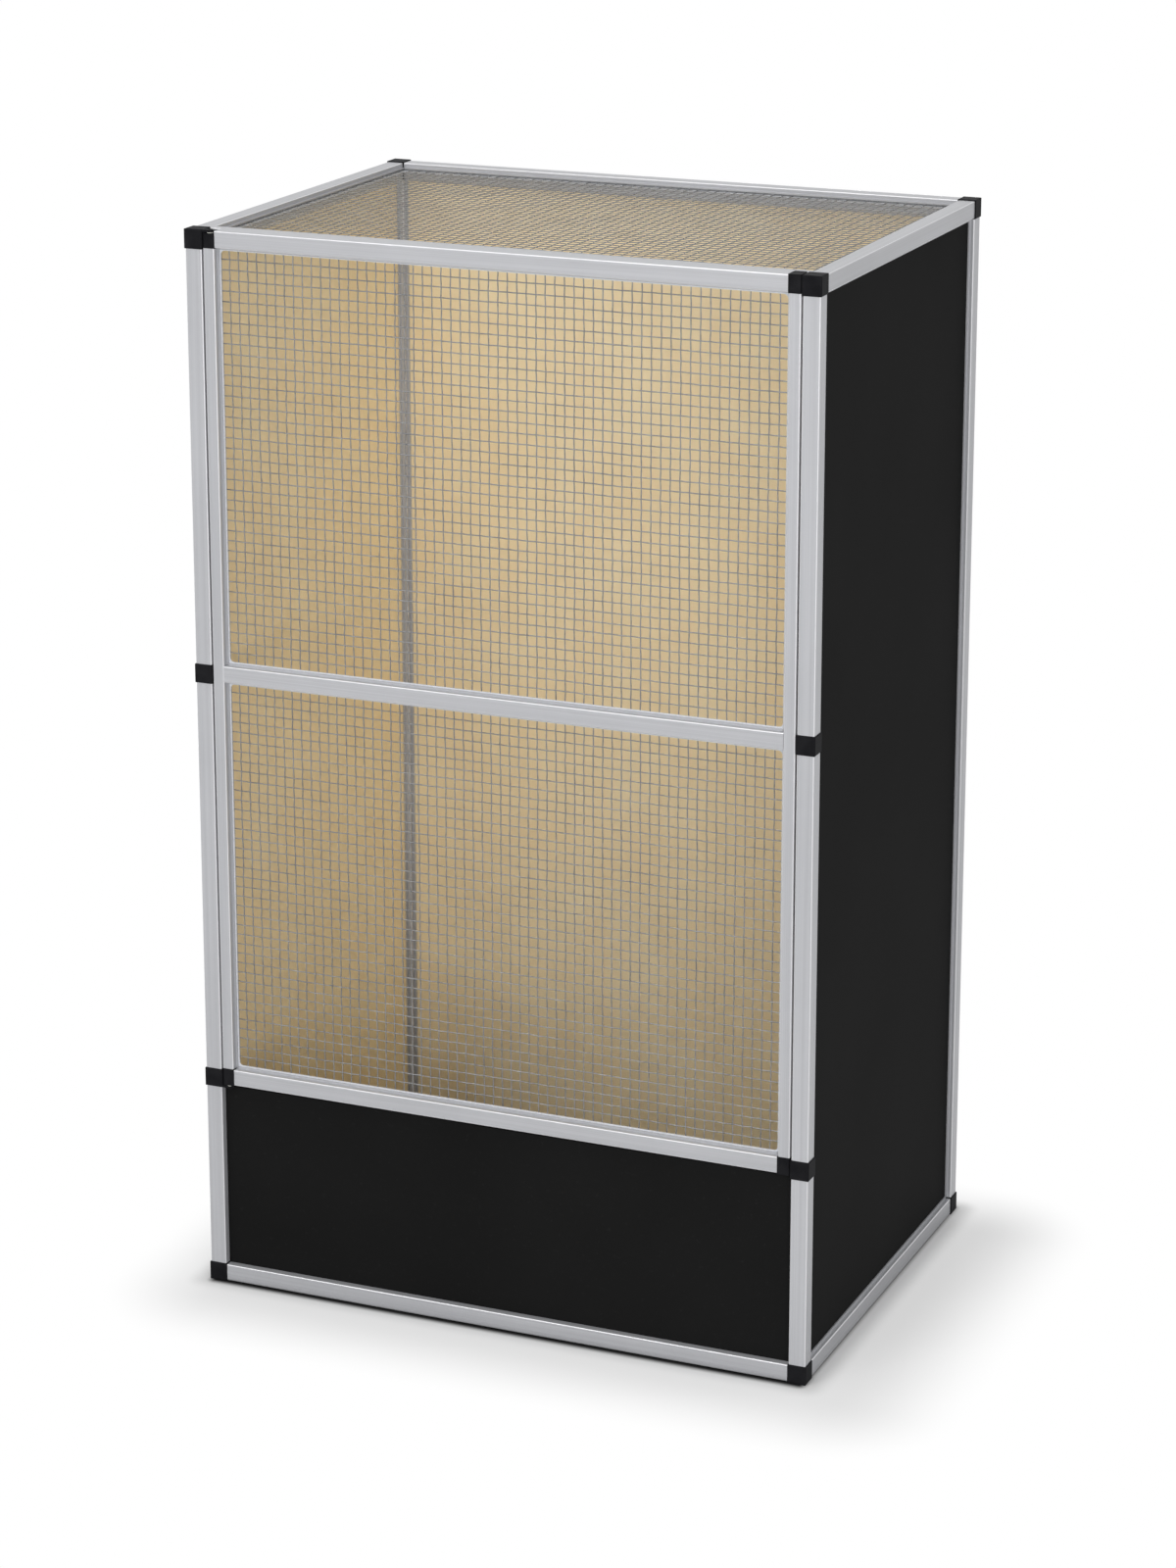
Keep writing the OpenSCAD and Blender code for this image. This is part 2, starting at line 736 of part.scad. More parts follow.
module door_corner_bottom_left() {
    color(black_plastic) difference() {
        on_side(left) door_corner_body(rail_bottom_z, 1);
        hinge_bore(door_bottom - root, bore_depth + root);
    }
}

module hinge_pins() {
    pin_length = tab_thickness - pin_end_gap + hinge_gap + pin_depth;
    color(steel) for (z = [cage_h - pin_end_gap - pin_length, bottom_tab_z + pin_end_gap])
        translate([hinge_x, hinge_y, z]) cylinder(pin_length, d = pin_diameter, $fn = round_fn);
}

module hinge_washers() {
    color(nylon) for (z = [top_tab_z - washer_thickness, bottom_tab_z + tab_thickness])
        difference() {
            translate([hinge_x, hinge_y, z])
                cylinder(washer_thickness, d = washer_diameter, $fn = round_fn);
            hinge_bore(z - root, washer_thickness + 2 * root);
        }
}

module catch_magnets() {
    color(steel) for (z = [catch_top_z, catch_bottom_z])
        translate([catch_x, stop_y, z]) rotate([90, 0, 0])
            cylinder(magnet_thickness, d = magnet_diameter, $fn = round_fn);
}

module strike_plates() {
    color(steel) for (z = [catch_top_z, catch_bottom_z])
        translate([catch_x, door_back - pocket_depth + strike_thickness, z]) rotate([90, 0, 0])
            cylinder(strike_thickness, d = strike_diameter, $fn = round_fn);
}

post_front_lower(left);  // post_front_left_lower
post_front(left, post_middle);  // post_front_left_middle
post_front(left, post_upper);  // post_front_left_upper
post_front_lower(right);  // post_front_right_lower
post_front(right, post_middle);  // post_front_right_middle
post_front(right, post_upper);  // post_front_right_upper
post_back(left);  // post_back_left
post_back(right);  // post_back_right
rail_bottom_front();
rail_bottom_back();
rail_bottom_side(left);  // rail_bottom_left
rail_bottom_side(right);  // rail_bottom_right
rail_top_back();
rail_top_side(left);  // rail_top_left
rail_top_side(right);  // rail_top_right
header_rail();
header_plugs();
sill_rail();
sill_plugs();
corner_bottom(left, front);  // corner_bottom_front_left
corner_bottom(right, front);  // corner_bottom_front_right
corner_bottom(left, back);  // corner_bottom_back_left
corner_bottom(right, back);  // corner_bottom_back_right
corner_top_front(left);  // corner_top_front_left
corner_top_front(right);  // corner_top_front_right
corner_top_back(left);  // corner_top_back_left
corner_top_back(right);  // corner_top_back_right
coupler_sill(left);  // coupler_sill_left
coupler_sill(right);  // coupler_sill_right
coupler_mid(left);  // coupler_mid_left
coupler_mid(right);  // coupler_mid_right
panel_side(left);  // panel_left
panel_side(right);  // panel_right
panel_back();
panel_front_lower();
panel_floor();
liner_side(left);  // liner_left
liner_side(right);  // liner_right
liner_back();
top_mesh();
top_mesh_spline();
hinge_pins();
hinge_washers();
catch_magnets();
door_stile(left);  // door_stile_left
door_stile(right);  // door_stile_right
door_rail(rail_top_z, door_corner_x, [-1]);  // door_rail_top
door_rail(rail_mid_z, stile_in, [-1, 1]);  // door_rail_middle
door_rail(rail_bottom_z, door_corner_x, [1]);  // door_rail_bottom
door_rail_plugs();
door_corner_top_left();
door_corner_right(rail_top_z, -1);  // door_corner_top_right
door_corner_bottom_left();
door_corner_right(rail_bottom_z, 1);  // door_corner_bottom_right
door_mesh(upper_mesh_span);  // door_mesh_upper
door_mesh(lower_mesh_span);  // door_mesh_lower
door_spline(upper_mesh_span);  // door_spline_upper
door_spline(lower_mesh_span);  // door_spline_lower
strike_plates();
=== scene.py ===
# %% [markdown]
# # A tall mesh pet cage
# The cage is a frame of square aluminium tube pushed onto black plastic connectors. Black sheets close its
# sides, its back and its foot, cream liners face the inside, and wire mesh fills the top and the door.
# The construction comes ready made from the CAD model, in metres and in its place. This lesson dresses it:
# it weaves real wire in place of the model's coarse nets and gives every surface a finish of its own.

# %% Load the frame
import json
import math

import bpy
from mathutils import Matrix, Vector


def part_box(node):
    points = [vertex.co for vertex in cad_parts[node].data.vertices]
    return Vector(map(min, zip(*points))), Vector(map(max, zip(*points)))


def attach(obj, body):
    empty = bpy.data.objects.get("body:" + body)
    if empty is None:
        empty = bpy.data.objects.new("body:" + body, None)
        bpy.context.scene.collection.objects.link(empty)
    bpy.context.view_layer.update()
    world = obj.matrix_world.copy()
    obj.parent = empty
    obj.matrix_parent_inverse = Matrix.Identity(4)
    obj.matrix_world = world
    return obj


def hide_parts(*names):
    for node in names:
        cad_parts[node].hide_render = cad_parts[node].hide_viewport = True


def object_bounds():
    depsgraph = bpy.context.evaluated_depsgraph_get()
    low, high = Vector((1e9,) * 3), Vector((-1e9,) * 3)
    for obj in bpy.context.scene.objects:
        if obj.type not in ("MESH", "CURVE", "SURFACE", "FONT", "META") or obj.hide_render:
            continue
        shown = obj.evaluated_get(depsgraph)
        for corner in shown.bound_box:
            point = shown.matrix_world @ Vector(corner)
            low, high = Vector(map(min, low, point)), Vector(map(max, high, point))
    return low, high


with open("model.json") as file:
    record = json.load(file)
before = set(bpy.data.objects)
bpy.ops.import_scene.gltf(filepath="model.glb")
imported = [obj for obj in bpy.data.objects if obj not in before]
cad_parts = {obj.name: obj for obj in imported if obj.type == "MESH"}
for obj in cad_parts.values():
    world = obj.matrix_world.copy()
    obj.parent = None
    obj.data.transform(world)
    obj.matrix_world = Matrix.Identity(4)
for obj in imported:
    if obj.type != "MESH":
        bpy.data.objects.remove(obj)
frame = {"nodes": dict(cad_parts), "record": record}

cad_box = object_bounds()
slot_of = {part["node"]: part["material_slot"] for part in frame["record"]["subparts"]}

# %% [markdown]
# ## The camera
# A camera is easiest to set as an orbit: a point to look at, a distance, a turn round the object and a tilt
# down. A long lens from almost four metres away keeps the edges of the frame nearly parallel. The small
# vertical shift slides the picture on the sensor, as a shift lens does, so that the posts lean less than
# the tilt alone would make them.

# %% Camera
LOOK_AT = Vector((-0.003, 0.0, 0.617))
DISTANCE = 3.883
TURN = math.radians(22.9)
TILT = math.radians(15.26)
LENS_MM = 95.96
LENS_SHIFT = -0.1

away = Vector((math.sin(TURN) * math.cos(TILT), -math.cos(TURN) * math.cos(TILT), math.sin(TILT)))
bpy.ops.object.camera_add(location=LOOK_AT + away * DISTANCE, rotation=(math.pi / 2 - TILT, 0, TURN))
camera = bpy.context.object
camera.data.lens = LENS_MM
camera.data.shift_y = LENS_SHIFT
bpy.context.scene.camera = camera
bpy.context.scene.view_settings.view_transform = "Standard"
print("camera at", [round(c, 3) for c in camera.location])

# %% [markdown]
# ## Shader maths in plain Python
# A node tree is a sum written as boxes and wires. Building it by hand takes many lines, so one small class
# wraps an output socket and overloads the arithmetic operators: `1 - lines * 0.2` then adds its own Math
# nodes. Every other kind of node comes from its `node` method, which sets the node's settings first and
# then fills its sockets with numbers, colours or links.

# %% The socket class
class Socket:
    """An output socket that can be used in Python expressions."""

    def __init__(self, output):
        self.output = output
        self.tree = output.id_data

    def node(self, kind, settings=None, inputs=None, output=0):
        made = self.tree.nodes.new(kind)
        for name, value in (settings or {}).items():
            setattr(made, name, value)
        for name, value in (inputs or {}).items():
            fill(made.inputs[name], value)
        return Socket(made.outputs[output])

    def maths(self, operation, first, second):
        return self.node("ShaderNodeMath", {"operation": operation}, {0: first, 1: second})

    def __add__(self, other):
        return self.maths("ADD", self, other)

    def __sub__(self, other):
        return self.maths("SUBTRACT", self, other)

    def __rsub__(self, other):
        return self.maths("SUBTRACT", other, self)

    def __mul__(self, other):
        return self.maths("MULTIPLY", self, other)

    __radd__ = __add__
    __rmul__ = __mul__


def fill(socket, value):
    """Links a socket to another one, or sets it to a plain value."""
    if isinstance(value, Socket):
        value.tree.links.new(value.output, socket)
    else:
        socket.default_value = value


def start(tree, kind, output):
    """The first socket of a tree, from which the expressions grow."""
    return Socket(tree.nodes.new(kind).outputs[output])


print("socket class ready")

# %% [markdown]
# ## White paper that still takes a shadow
# A product picture stands on white paper, and the paper should stay white while the object still throws its
# shadow on it. More light would burn out the pale metal, so the paper helps itself: to the camera, and to
# mirrors, it glows at a strength of one, and only near the cage does it turn into ordinary matt paper that
# can be shaded. That takes two helpers. One tells the rays that see a surface from those that only light
# it. The other measures how far a place lies from a rectangle on the floor: take half its sides off the
# place's own distance from the middle, along x and along y, and what is left over measures the way out.

# %% Rays and shade
def seen_directly(tree):
    """1 for the camera and for mirror and glass rays, 0 for light that only fills shadows."""
    camera_ray = start(tree, "ShaderNodeLightPath", "Is Camera Ray")
    rays = camera_ray.output.node.outputs
    either = camera_ray.maths("MAXIMUM", camera_ray, Socket(rays["Is Glossy Ray"]))
    return either.maths("MAXIMUM", either, Socket(rays["Is Transmission Ray"]))


def shade(place, middle, half, reach, depth):
    """The depth of painted shade on a rectangle of those half sides, fading to nothing at that reach from
    it.
    """
    moved = place.node("ShaderNodeVectorMath", {"operation": "SUBTRACT"}, {0: place, 1: middle})
    folded = place.node("ShaderNodeVectorMath", {"operation": "ABSOLUTE"}, {0: moved})
    past = place.node("ShaderNodeVectorMath", {"operation": "SUBTRACT"}, {0: folded, 1: half})
    outside = place.node("ShaderNodeVectorMath", {"operation": "MAXIMUM"}, {0: past, 1: (0, 0, 0)})
    way_out = place.node("ShaderNodeVectorMath", {"operation": "LENGTH"}, {0: outside}, "Value")
    return place.node("ShaderNodeMapRange", {"interpolation_type": "SMOOTHSTEP"}, {
        "Value": way_out, "From Max": reach, "To Min": depth, "To Max": 0.0})


print("ray and shade helpers ready")

# %% [markdown]
# ## The floor
# The paper is one plane, wide enough to have no edge in the picture. Near the cage two fades paint its
# shadow: a wide one for the soft shadow, moved a little to the right and forward, and a narrow one for its
# core. Where they reach, the glow gives way to matt paper, which also shows the real shadow. Right against
# the cage a contact shadow is painted into the paper's own colour, a thin dark line drawn in at the sides.
# Each of the three is a rectangle on the floor with its own reach.

# %% Floor
FLOOR_SIZE = 60.0
PAPER = (0.74, 0.74, 0.74, 1)
WHITE = (1, 1, 1, 1)
# Colour of the painted contact shadow
CONTACT_SHADOW_TONE = (0.02, 0.02, 0.02, 1)
FOOTPRINT = (cad_box[1] - cad_box[0]) / 2
MIDDLE = Vector((0, 0, 0))
# Painted shadow: the two fades and the contact line darken the paper near the cage
# Middle, half sides, reach and depth
SHADE_WIDE = (Vector((0.03, -0.035, 0.0)), FOOTPRINT - Vector((0, 0.02, 0)), 0.125, 0.49)
SHADE_NARROW = (MIDDLE, FOOTPRINT, 0.025, 0.4)
PAINTED_CONTACT_SHADOW = (MIDDLE, FOOTPRINT - Vector((0.006, 0, 0)), 0.01, 1.0)


def mix(factor, colour, other):
    """A colour between two others. The Mix node's sockets 6, 7 and 2 are the ones for colours."""
    return factor.node("ShaderNodeMix", {"data_type": "RGBA"}, {0: factor, 6: colour, 7: other}, 2)


def studio_paper():
    material = bpy.data.materials.new("studio_paper")
    material.use_nodes = True
    tree = material.node_tree
    tree.nodes.clear()
    place = start(tree, "ShaderNodeTexCoord", "Object")
    # Painted shadow: the contact mask darkens the paper's colour, and the fades darken it by giving up the
    # glow
    contact_shadow = shade(place, *PAINTED_CONTACT_SHADOW)
    shaded = shade(place, *SHADE_WIDE) + shade(place, *SHADE_NARROW)
    glow = seen_directly(tree) * (1 - shaded) * (1 - contact_shadow)
    matt = place.node("ShaderNodeBsdfDiffuse", {}, {"Color": mix(contact_shadow, PAPER, CONTACT_SHADOW_TONE)})
    lit = place.node("ShaderNodeEmission", {}, {"Color": WHITE, "Strength": 1.0})
    paper = place.node("ShaderNodeMixShader", {}, {0: glow, 1: matt, 2: lit})
    fill(tree.nodes.new("ShaderNodeOutputMaterial").inputs["Surface"], paper)
    return material


bpy.ops.object.select_all(action="DESELECT")
bpy.ops.mesh.primitive_plane_add(size=FLOOR_SIZE)
floor = bpy.context.object
floor.name = "studio_floor"
floor.data.materials.append(studio_paper())
print("floor", FLOOR_SIZE, "m across")

# %% [markdown]
# ## The light
# The light is that of a white studio. The world fills every shadow softly and shows as white behind the
# cage. Two large softboxes in front, one to the left and above and one to the right, make the front faces
# the brightest and reach through the door to the walls inside. A third one, overhead and a little in front,
# shines down through the mesh top, and a fourth one behind keeps the back from going quite black. That one
# stays below the top of the cage, where the upper faces of the tubes cannot mirror it.

# %% World and softboxes
WORLD_FILL = 0.3
world = bpy.data.worlds.new("white_studio")
bpy.context.scene.world = world
world.use_nodes = True
world.node_tree.nodes.clear()
seen = seen_directly(world.node_tree)
backdrop = seen.node("ShaderNodeBackground", {}, {"Color": WHITE, "Strength": 1.0})
fill_light = seen.node("ShaderNodeBackground", {}, {"Color": WHITE, "Strength": WORLD_FILL})
sky = seen.node("ShaderNodeMixShader", {}, {0: seen, 1: fill_light, 2: backdrop})
fill(world.node_tree.nodes.new("ShaderNodeOutputWorld").inputs["Surface"], sky)

CAGE_MIDDLE = (cad_box[0] + cad_box[1]) / 2
# Place, length of a side and watts
SOFTBOXES = {
    "key_front": (Vector((-1.5, -3.6, 2.5)), 2.0, 42.0),
    "fill_right": (Vector((2.0, -3.2, 1.2)), 1.8, 51.0),
    "overhead": (Vector((0.0, -0.8, 3.3)), 1.8, 24.0),
    "fill_back": (Vector((-0.8, 3.8, 0.5)), 0.9, 40.0),
}
for name, (place, side, watts) in SOFTBOXES.items():
    aim = (CAGE_MIDDLE - place).to_track_quat("-Z", "Y").to_euler()
    bpy.ops.object.light_add(type="AREA", location=place, rotation=aim)
    softbox = bpy.context.object
    softbox.name = name
    softbox.data.size = side
    softbox.data.energy = watts
print("softboxes:", sorted(SOFTBOXES))

# %% [markdown]
# ## Starting a finish
# Every finish starts alike: a material with its Principled shader, and the Object coordinates of the piece,
# which are metres in the cage's own frame. A Mapping node stretches them, so that the same noise can be
# fine grain or long drawn lines, and Map Range picks out a band of that noise as a mask from 0 to 1.

# %% Helpers for finishes
def start_finish(name):
    material = bpy.data.materials.new(name)
    material.use_nodes = True
    shader = material.node_tree.nodes["Principled BSDF"]
    return material, shader.inputs, start(material.node_tree, "ShaderNodeTexCoord", "Object")


def noise(place, per_metre, detail=2.0):
    """Noise with that many features to the metre along x, y and z."""
    stretched = place.node("ShaderNodeMapping", {}, {"Vector": place, "Scale": per_metre})
    return place.node("ShaderNodeTexNoise", {}, {"Vector": stretched, "Scale": 1.0, "Detail": detail})


def mask(value, low, high):
    """0 below the band from low to high, 1 above it and a ramp between."""
    return value.node("ShaderNodeMapRange", {}, {"Value": value, "From Min": low, "From Max": high})


def relief(height, depth, strength):
    """The normal of a surface that stands out by that depth in metres, at that share of its full effect."""
    return height.node("ShaderNodeBump", {}, {"Strength": strength, "Distance": depth, "Height": height})


def even(per_metre):
    """The same number of features along every axis."""
    return (per_metre, per_metre, per_metre)


print("finish helpers ready")

# %% [markdown]
# ## Satin aluminium
# The tubes are extruded, so the die leaves fine lines along their length, and a satin anodised skin turns
# the metal into a soft, slightly blue grey. One noise, drawn out along the tube, makes the fine lines and a
# wider one the faint bands. The lines follow the tube, so there is a finish for each direction that a tube
# runs in. The anodised skin scatters light as well as reflecting it, hence a metallic value below 1. The
# rounded corners carry a painted highlight: their base colour is lighter than the flats', standing in for
# the glint of the lamps. A flat faces along one axis, so the largest part of its normal is 1, and where
# that falls off the surface is turning a corner.

# %% Satin aluminium
ALONG = 2.5
FINE_LINES = 1500.0
WIDE_BANDS = 260.0
CLOUDS = 9.0
METAL_TONES = (0.455, 0.46, 0.48, 1), (0.55, 0.555, 0.578, 1)
# Painted highlight: the lighter colour that the rounded corners take in place of a lamp's glint
PAINTED_EDGE_HIGHLIGHT = (0.8, 0.8, 0.82, 1)
FLAT, TURNING = 0.98, 0.85


def drawn_out(axis, across):
    return tuple(ALONG if i == axis else across for i in range(3))


def edge_highlight_mask(tree):
    """0 on the flats of a tube and 1 in the middle of its rounded corners, where the highlight is painted.
    """
    normal = start(tree, "ShaderNodeTexCoord", "Normal")
    facing = normal.node("ShaderNodeVectorMath", {"operation": "ABSOLUTE"}, {0: normal})
    parts = facing.node("ShaderNodeSeparateXYZ", {}, {0: facing}).output.node.outputs
    x, y, z = [Socket(part) for part in parts]
    return mask(x.maths("MAXIMUM", x, y.maths("MAXIMUM", y, z)), FLAT, TURNING)


def satin_aluminium(axis):
    material, shader, place = start_finish("satin_aluminium_" + "xyz"[axis])
    lines = noise(place, drawn_out(axis, FINE_LINES), 3.0)
    bands = noise(place, drawn_out(axis, WIDE_BANDS))
    clouds = noise(place, even(CLOUDS))
    tone = mask(lines * 0.45 + bands * 0.35 + clouds * 0.2, 0.35, 0.65)
    drawn = mix(tone, *METAL_TONES)
    # The rounded corners are painted lighter, a painted highlight
    fill(shader["Base Color"], mix(edge_highlight_mask(material.node_tree), drawn, PAINTED_EDGE_HIGHLIGHT))
    fill(shader["Metallic"], 0.35)
    fill(shader["Specular IOR Level"], 0.2)
    fill(shader["Roughness"], 0.3 + lines * 0.12)
    fill(shader["Normal"], relief(lines, 0.00004, 0.5))
    return material


aluminium = [satin_aluminium(axis) for axis in range(3)]
print("made", [m.name for m in aluminium])

# %% [markdown]
# ## Black connector plastic
# The connectors are moulded in black nylon. The mould is spark eroded, which leaves an even, pebbly grain,
# and the flow of the plastic leaves a faint cloudiness in its gloss. The grain is a bump from a fine noise,
# and a slow noise moves the roughness and lifts the black a little.

# %% Connector plastic
PEBBLE_GRAIN = 1600.0
MOULD_FLOW = 70.0
PLASTIC_TONES = (0.009, 0.009, 0.0105, 1), (0.019, 0.019, 0.021, 1)


def moulded_plastic():
    material, shader, place = start_finish("black_moulded_plastic")
    grain = noise(place, even(PEBBLE_GRAIN), 3.0)
    flow = noise(place, even(MOULD_FLOW))
    rubbed = mask(grain * 0.5 + flow * 0.5, 0.4, 0.65)
    fill(shader["Base Color"], mix(rubbed, *PLASTIC_TONES))
    fill(shader["Roughness"], 0.42 + flow * 0.2)
    fill(shader["Specular IOR Level"], 0.03)
    fill(shader["Normal"], relief(grain, 0.0001, 0.35))
    return material


plastic = moulded_plastic()
print("made", plastic.name)

# %% [markdown]
# ## Black sheet
# The outer walls are matt black plastic sheet. It is rolled flat, so its skin is an even fine grain with a
# little slow cloudiness, and handling leaves specks of dust that only show as a slightly greyer black. A
# matt skin hardly mirrors anything, so its specular level is close to nothing.

# %% Black sheet
ROLLED_GRAIN = 900.0
SHEET_CLOUDS = 6.0
DUST_SPECKS = 240.0
SHEET_TONES = (0.0095, 0.0095, 0.0095, 1), (0.013, 0.013, 0.013, 1)
DUST_TONE = (0.024, 0.024, 0.024, 1)


def matt_black_sheet():
    material, shader, place = start_finish("matt_black_sheet")
    grain = noise(place, even(ROLLED_GRAIN))
    clouds = noise(place, even(SHEET_CLOUDS))
    dust = mask(noise(place, even(DUST_SPECKS), 4.0), 0.62, 0.75)
    haze = mask(clouds * 0.7 + grain * 0.3, 0.3, 0.7)
    fill(shader["Base Color"], mix(dust * 0.4, mix(haze, *SHEET_TONES), DUST_TONE))
    fill(shader["Roughness"], 0.6 + grain * 0.1 + dust * 0.1)
    fill(shader["Specular IOR Level"], 0.02)
    fill(shader["Normal"], relief(grain, 0.00006, 0.3))
    return material


sheet = matt_black_sheet()
print("made", sheet.name)

# %% [markdown]
# ## Cream liner
# The inside of the walls is faced with thin cream sheet. It has a warm, slightly uneven colour, a soft
# eggshell grain, and long upright streaks where it was wiped down.

# %% Cream liner
EGGSHELL_GRAIN = 700.0
MOTTLE = 14.0
WIPED_STREAKS = (90.0, 90.0, 3.0)
CREAM_TONES = (0.95, 0.78, 0.5, 1), (0.98, 0.84, 0.57, 1)


def cream_liner():
    material, shader, place = start_finish("cream_liner")
    grain = noise(place, even(EGGSHELL_GRAIN))
    mottle = noise(place, even(MOTTLE), 3.0)
    streaks = noise(place, WIPED_STREAKS)
    tone = mask(mottle * 0.6 + streaks * 0.25 + grain * 0.15, 0.36, 0.64)
    fill(shader["Base Color"], mix(tone, *CREAM_TONES))
    fill(shader["Roughness"], 0.5 + mottle * 0.15)
    fill(shader["Normal"], relief(grain, 0.00008, 0.3))
    return material


liner = cream_liner()
print("made", liner.name)

# %% [markdown]
# ## Galvanised wire
# Hot zinc leaves a pale grey skin with a crystal spangle, duller where it has weathered. Voronoi cells give
# the spangle its flat patches of tone, and a slow noise decides where the zinc is dull.

# %% Galvanised wire
SPANGLES = 420.0
DULL_PATCHES = 45.0
ZINC_TONES = (0.18, 0.185, 0.195, 1), (0.3, 0.305, 0.31, 1)


def galvanised_wire():
    material, shader, place = start_finish("galvanised_wire")
    spangle = place.node("ShaderNodeTexVoronoi", {}, {"Vector": place, "Scale": SPANGLES}, "Distance")
    dull = noise(place, even(DULL_PATCHES), 3.0)
    tone = mask(spangle * 0.4 + dull * 0.6, 0.3, 0.65)
    fill(shader["Base Color"], mix(tone, *ZINC_TONES))
    fill(shader["Metallic"], 0.7)
    fill(shader["Roughness"], 0.36 + dull * 0.2)
    fill(shader["Normal"], relief(spangle, 0.00005, 0.3))
    return material


zinc = galvanised_wire()
print("made", zinc.name)

# %% [markdown]
# ## The small hardware
# A pale vinyl spline wedges each mesh in its channel and shows on the door as a thin bead. The hinge pins,
# the catch magnets and the washers are mostly hidden, but the open door shows them. They all share one
# recipe, two tones of a fine grain with their own gloss, and differ in its numbers.

# %% Hardware finishes
def hardware_finish(name, dark, light, metallic, roughness, per_metre):
    material, shader, place = start_finish(name)
    grain = noise(place, per_metre, 3.0)
    fill(shader["Base Color"], mix(mask(grain, 0.35, 0.65), dark, light))
    fill(shader["Metallic"], metallic)
    fill(shader["Roughness"], roughness + grain * 0.15)
    fill(shader["Normal"], relief(grain, 0.00005, 0.3))
    return material


vinyl = hardware_finish(
    "spline_vinyl", (0.68, 0.7, 0.75, 1), (0.78, 0.8, 0.85, 1), 0.0, 0.4, even(500.0))
pin_steel = hardware_finish(
    "turned_steel", (0.4, 0.4, 0.42, 1), (0.62, 0.62, 0.64, 1), 1.0, 0.22, (40.0, 40.0, 2500.0))
plating = hardware_finish(
    "nickel_plating", (0.5, 0.49, 0.47, 1), (0.68, 0.67, 0.65, 1), 1.0, 0.15, even(300.0))
nylon = hardware_finish(
    "natural_nylon", (0.66, 0.65, 0.6, 1), (0.78, 0.77, 0.72, 1), 0.0, 0.4, even(800.0))
print("made", [m.name for m in (vinyl, pin_steel, plating, nylon)])

# %% [markdown]
# ## Dressing the CAD pieces
# Each CAD piece names its material slot in the record, so one loop can dress them all. A tube takes the
# aluminium whose lines run along its longest side.

# %% Dress the CAD pieces
FINISHES = {
    "connector_plastic": plastic, "black_sheet": sheet, "cream_liner": liner, "mesh_wire": zinc,
    "spline_vinyl": vinyl, "pin_steel": pin_steel, "magnet": plating, "washer_nylon": nylon,
}


def finish_for(node):
    """The finish of a CAD piece, by its slot and, for a tube, by the axis that it runs along."""
    if slot_of[node] != "frame_aluminium":
        return FINISHES[slot_of[node]]
    low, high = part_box(node)
    lengths = list(high - low)
    return aluminium[lengths.index(max(lengths))]


for node, piece in frame["nodes"].items():
    for slot in piece.material_slots:
        slot.material = finish_for(node)
print("dressed", len(frame["nodes"]), "CAD pieces")

# %% [markdown]
# ## One wire of the mesh
# The mesh is plain weave: every wire goes over one neighbour and under the next. A wire is modelled as a
# person would do it: a six-sided ring laid at one edge of the sheet, then extruded from crossing to
# crossing, each step rising or dipping by the same share of the gauge. An Array modifier lays down every
# second wire, since the wires between them rise where these dip.

# %% Wire modelling
WIRE_SIDES = 6
CRIMP_SHARE = 0.38


def lay_wires(gauge, start_point, along, beside, out, crossings, copies, rises):
    """Every second wire of a sheet: along is the step between crossings, beside the step between wires."""
    first = out * gauge * (CRIMP_SHARE if rises else -CRIMP_SHARE)
    bpy.ops.object.select_all(action="DESELECT")
    bpy.ops.mesh.primitive_circle_add(
        vertices=WIRE_SIDES, radius=gauge / 2, fill_type="NGON", location=start_point + first,
        rotation=along.to_track_quat("Z", "Y").to_euler())
    bpy.ops.object.mode_set(mode="EDIT")
    for crossing in range(crossings - 1):
        swing = -2 * first if crossing % 2 == 0 else 2 * first
        bpy.ops.mesh.extrude_region_move(TRANSFORM_OT_translate={"value": along + swing})
    bpy.ops.mesh.select_all(action="SELECT")
    bpy.ops.mesh.normals_make_consistent(inside=False)
    bpy.ops.object.mode_set(mode="OBJECT")
    bpy.ops.object.transform_apply(location=True, rotation=True, scale=True)
    wires = bpy.context.object
    rows = wires.modifiers.new("rows", "ARRAY")
    rows.count = copies
    rows.use_relative_offset = False
    rows.use_constant_offset = True
    rows.constant_offset_displace = beside * 2
    bpy.ops.object.modifier_apply(modifier=rows.name)
    return wires


print("wires have", WIRE_SIDES, "sides")

# %% [markdown]
# ## A sheet of woven wire
# Four sets of wires make a sheet: odd and even, in both directions. Real mesh comes off a roll and is never
# quite flat or square, so Displace modifiers with a soft cloud texture push the joined sheet a fraction of
# a millimetre in and out and along itself. The door takes a stouter gauge than the top, which nothing
# leans on.

# %% Sheet weaving
DOOR_GAUGE = 0.0011
TOP_GAUGE = 0.0008
NET_BAR = 0.0016
NET_PITCH = 0.046
WIRES_PER_NET_GAP = 5
WAVE_SIZES = {"X": 0.05, "Y": 0.07, "Z": 0.06}
WAVE_PUSH = 0.0011
SMOOTH_BELOW = math.radians(70)


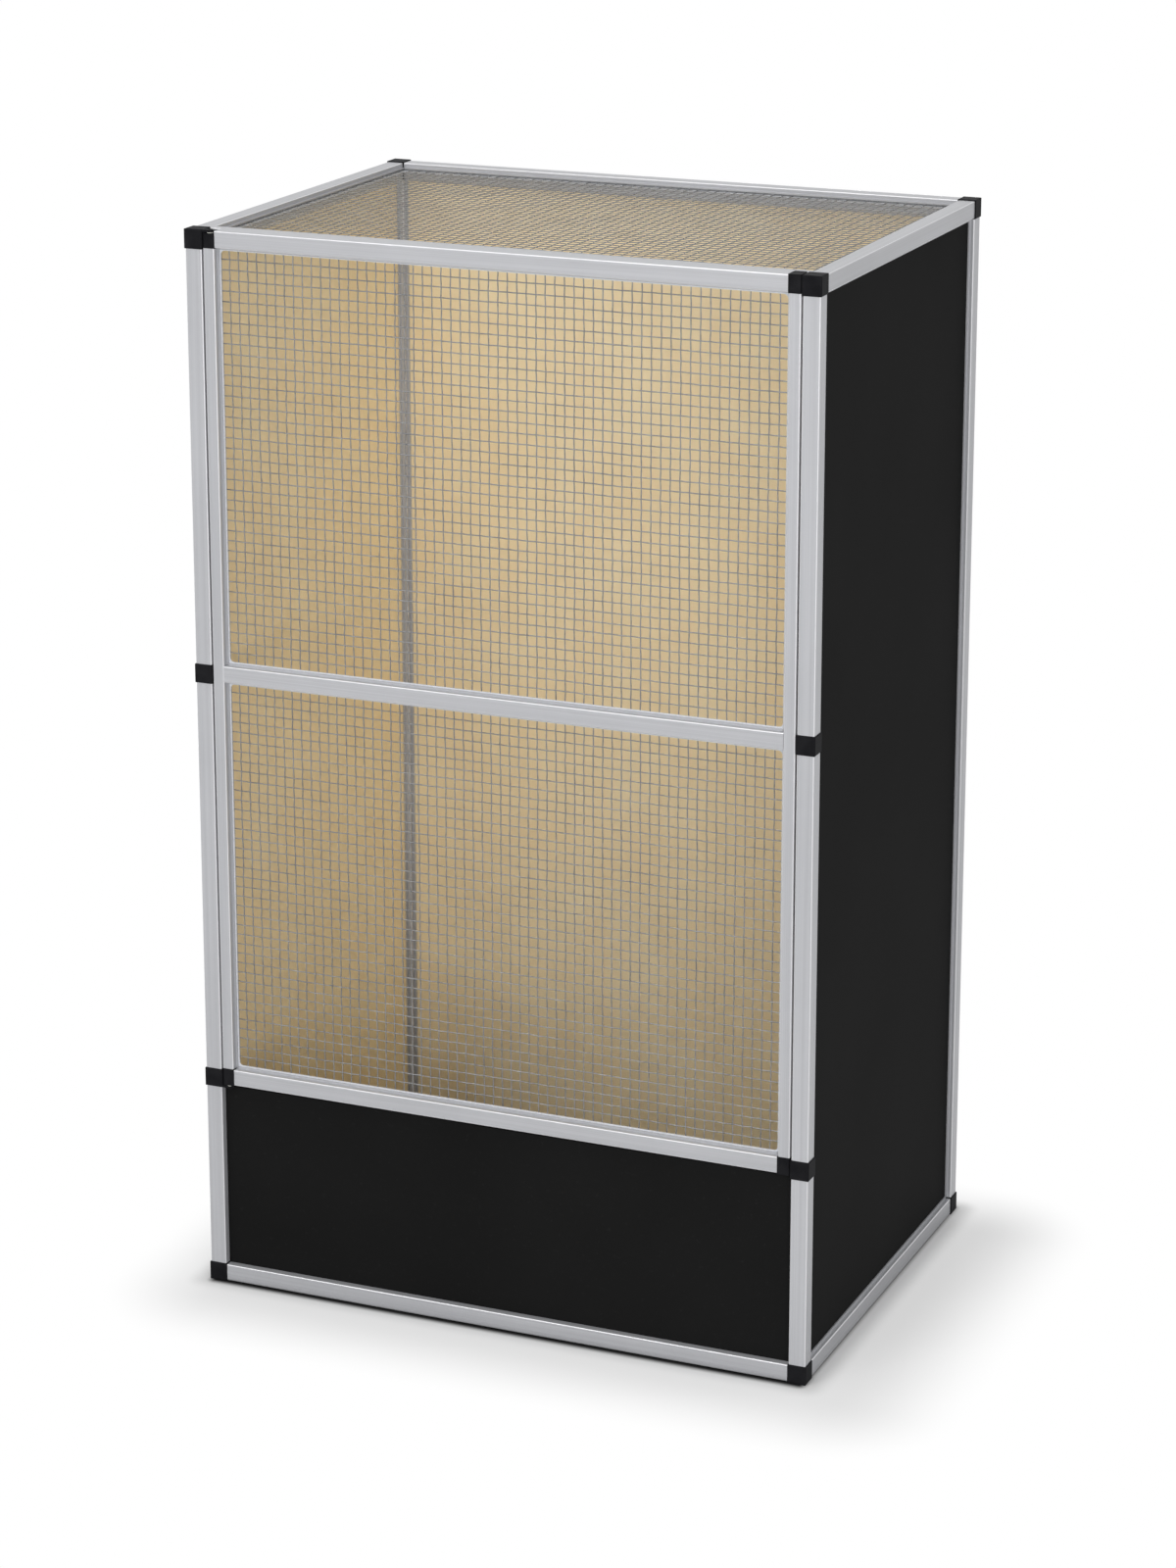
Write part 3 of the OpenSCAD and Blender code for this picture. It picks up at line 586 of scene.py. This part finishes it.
def sway(sheet_piece, direction):
    """Pushes a sheet to and fro along one axis, in soft waves."""
    cloud = bpy.data.textures.new("roll_waves_" + direction, "CLOUDS")
    cloud.noise_scale = WAVE_SIZES[direction]
    push = sheet_piece.modifiers.new("sway", "DISPLACE")
    push.texture = cloud
    push.texture_coords = "LOCAL"
    push.direction = direction
    push.strength = WAVE_PUSH
    bpy.ops.object.modifier_apply(modifier=push.name)


def weave(name, node, body, up_axis, gauge):
    """Woven mesh in the place of a CAD net that spans x and one other axis."""
    low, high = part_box(node)
    out_axis = 3 - up_axis
    size = high - low
    counts = [WIRES_PER_NET_GAP * round((size[i] - NET_BAR) / NET_PITCH) + 1 for i in (0, up_axis)]
    corner = Vector(low) + Vector((NET_BAR / 2,) * 3)
    corner[out_axis] = (low[out_axis] + high[out_axis]) / 2
    across, upward, out = Vector((0, 0, 0)), Vector((0, 0, 0)), Vector((0, 0, 0))
    across[0] = (size[0] - NET_BAR) / (counts[0] - 1)
    upward[up_axis] = (size[up_axis] - NET_BAR) / (counts[1] - 1)
    out[out_axis] = 1
    sets = []
    for odd in (0, 1):
        uprights, levels = [(count + 1 - odd) // 2 for count in counts]
        sets.append(lay_wires(
            gauge, corner + across * odd, upward, across, out, counts[1], uprights, odd == 0))
        sets.append(lay_wires(
            gauge, corner + upward * odd, across, upward, out, counts[0], levels, odd == 1))
    for piece in sets:
        piece.select_set(True)
    bpy.context.view_layer.objects.active = sets[0]
    bpy.ops.object.join()
    woven = bpy.context.object
    woven.name = name
    for direction in WAVE_SIZES:
        sway(woven, direction)
    bpy.ops.object.shade_smooth_by_angle(angle=SMOOTH_BELOW)
    woven.data.materials.append(zinc)
    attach(woven, body)
    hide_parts(node)
    print(name, "has", counts[0], "by", counts[1], "wires and", len(woven.data.polygons), "faces")


weave("wire_mesh_door_upper", "door_mesh_upper", "door", 2, DOOR_GAUGE)
weave("wire_mesh_door_lower", "door_mesh_lower", "door", 2, DOOR_GAUGE)
weave("wire_mesh_top", "top_mesh", "cage", 1, TOP_GAUGE)
